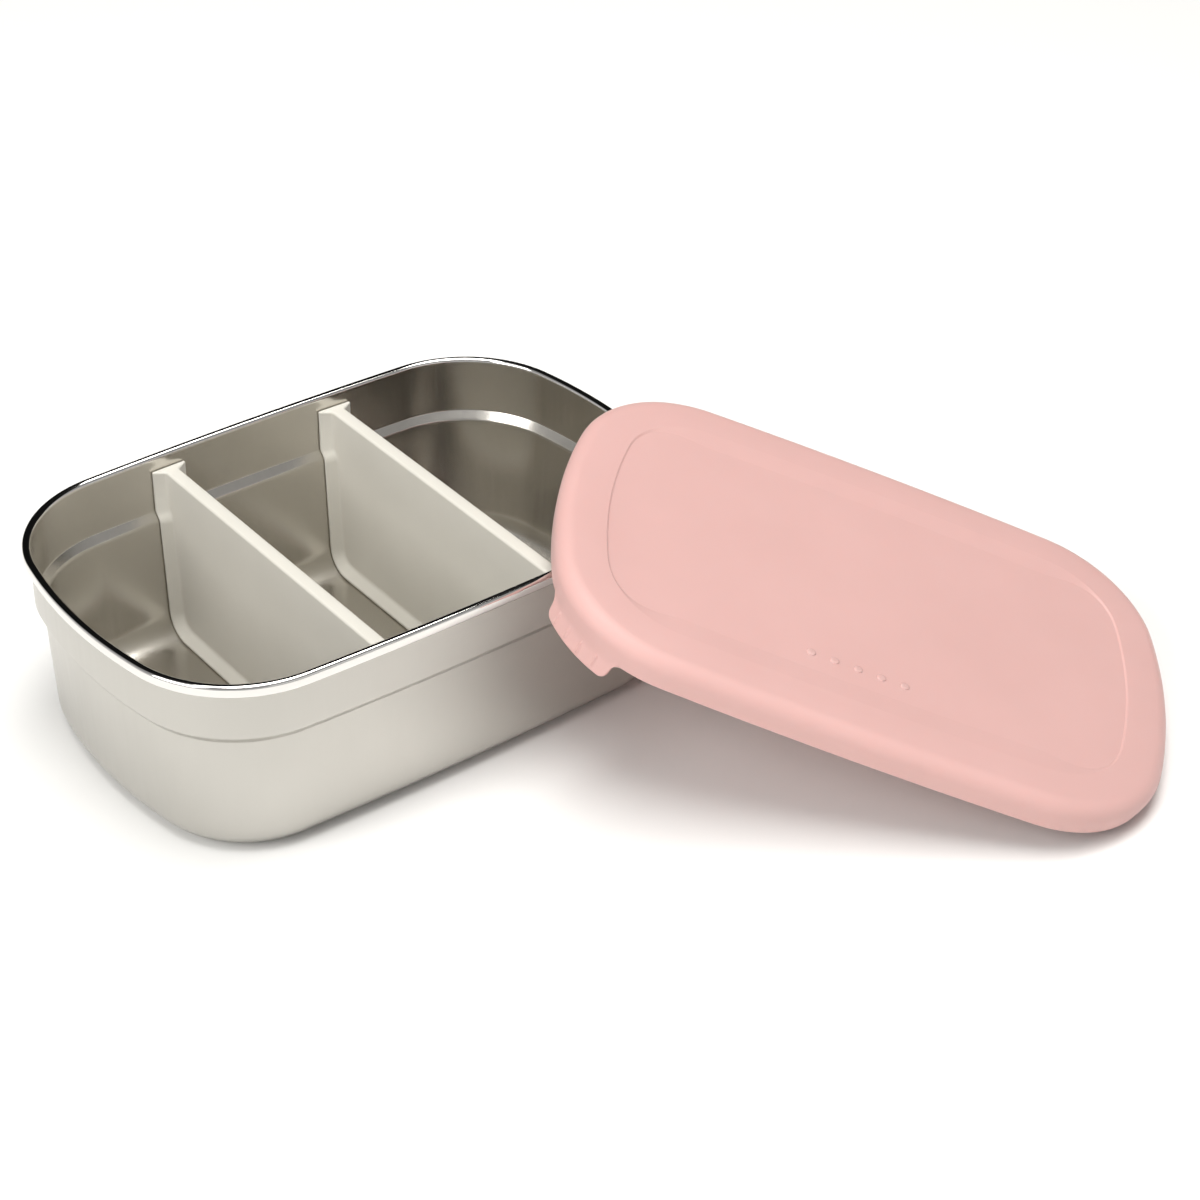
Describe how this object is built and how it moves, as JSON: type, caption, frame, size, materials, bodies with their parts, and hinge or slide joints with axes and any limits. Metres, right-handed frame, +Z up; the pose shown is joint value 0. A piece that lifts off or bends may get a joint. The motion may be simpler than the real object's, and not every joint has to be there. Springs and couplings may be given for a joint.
{
  "type": "bento lunch box",
  "caption": "Open steel bento box with rolled rim and rounded corners, two soft T-footed dividers standing across it, and a soft grip-on lid with a pull tab leaning on its rim.",
  "frame": {"origin": "centre of the container's flat base, on the surface that it stands on", "axes": "+Z up out of the container, +X along its long side towards the leaning lid, +Y to the far long side"},
  "size_m": [0.2891, 0.2479, 0.074],
  "materials": {
    "steel": "satin drawn stainless steel with a mirror-polished rolled rim",
    "divider_silicone": "matte warm grey silicone",
    "lid_silicone": "matte pale pink silicone"
  },
  "bodies": {
    "container": {"container": "steel"},
    "divider_left": {"divider_left": "divider_silicone"},
    "divider_right": {"divider_right": "divider_silicone"},
    "lid": {"lid": "lid_silicone"}
  },
  "joints": [
    {"name": "divider_left_slide", "type": "slide", "parent": "container", "child": "divider_left", "axis": [1, 0, 0], "range_m": [-0.004, 0.02]},
    {"name": "divider_right_slide", "type": "slide", "parent": "container", "child": "divider_right", "axis": [-1, 0, 0], "range_m": [-0.004, 0.02]},
    {"name": "lid_lift", "type": "slide", "parent": "container", "child": "lid", "axis": [0, 0, 1], "range_m": [0, 0.08]}
  ]
}
